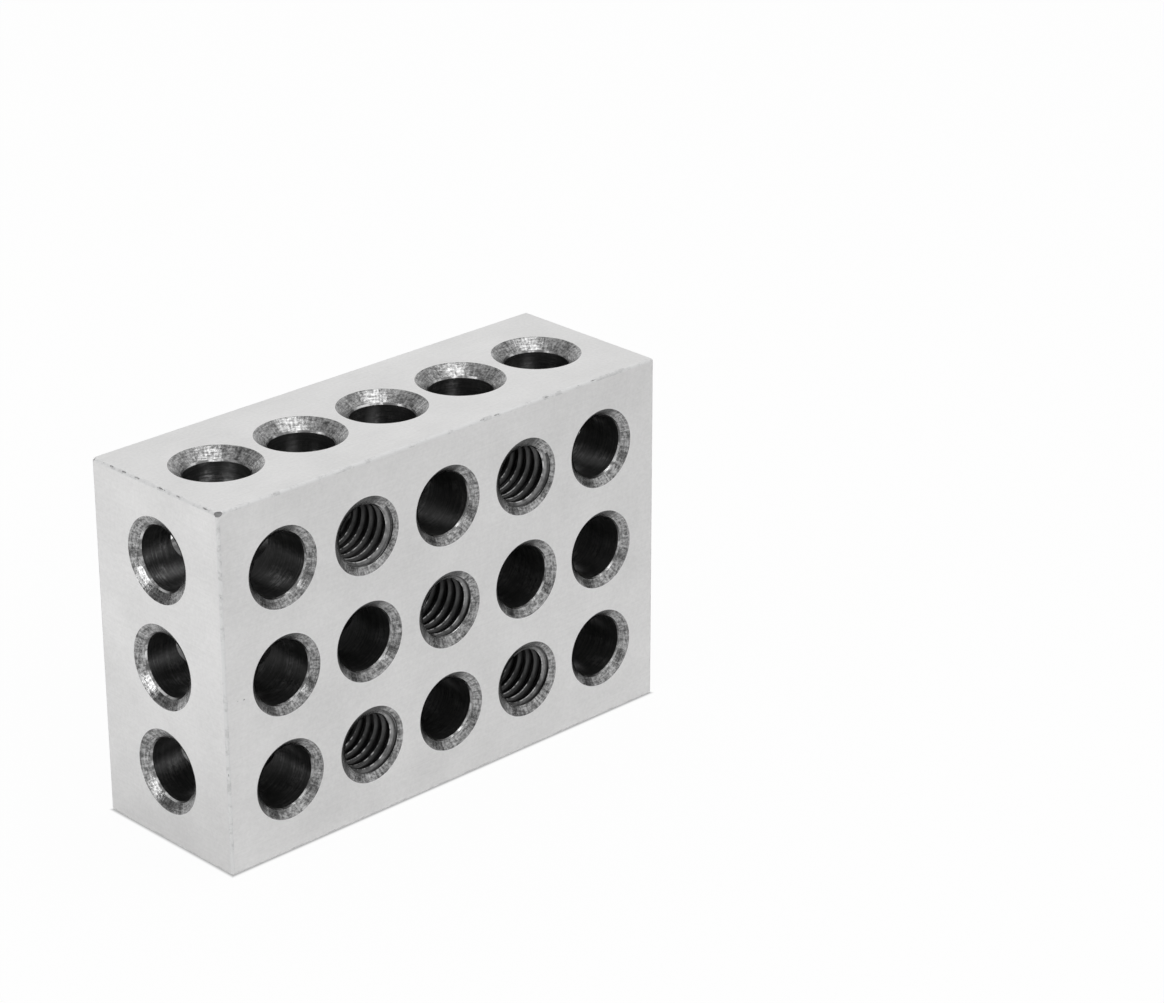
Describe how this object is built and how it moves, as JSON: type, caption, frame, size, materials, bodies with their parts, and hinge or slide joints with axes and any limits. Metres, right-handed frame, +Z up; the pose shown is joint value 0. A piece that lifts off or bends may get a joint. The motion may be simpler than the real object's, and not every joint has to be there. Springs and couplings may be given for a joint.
{
  "type": "setup block",
  "caption": "Ground steel setup block with a lattice of countersunk plain and tapped through holes that cross inside it, for packing up and bolting down work.",
  "frame": {"origin": "middle of the long narrow side that the block stands on", "axes": "+X along the length, +Y through the thickness, +Z up the height"},
  "size_m": [0.0762, 0.0254, 0.0508],
  "materials": {
    "ground_steel": "hardened steel, surface ground to a fine satin, with darker drilled bores"
  },
  "bodies": {
    "root": {"setup_block": "ground_steel"}
  },
  "joints": []
}
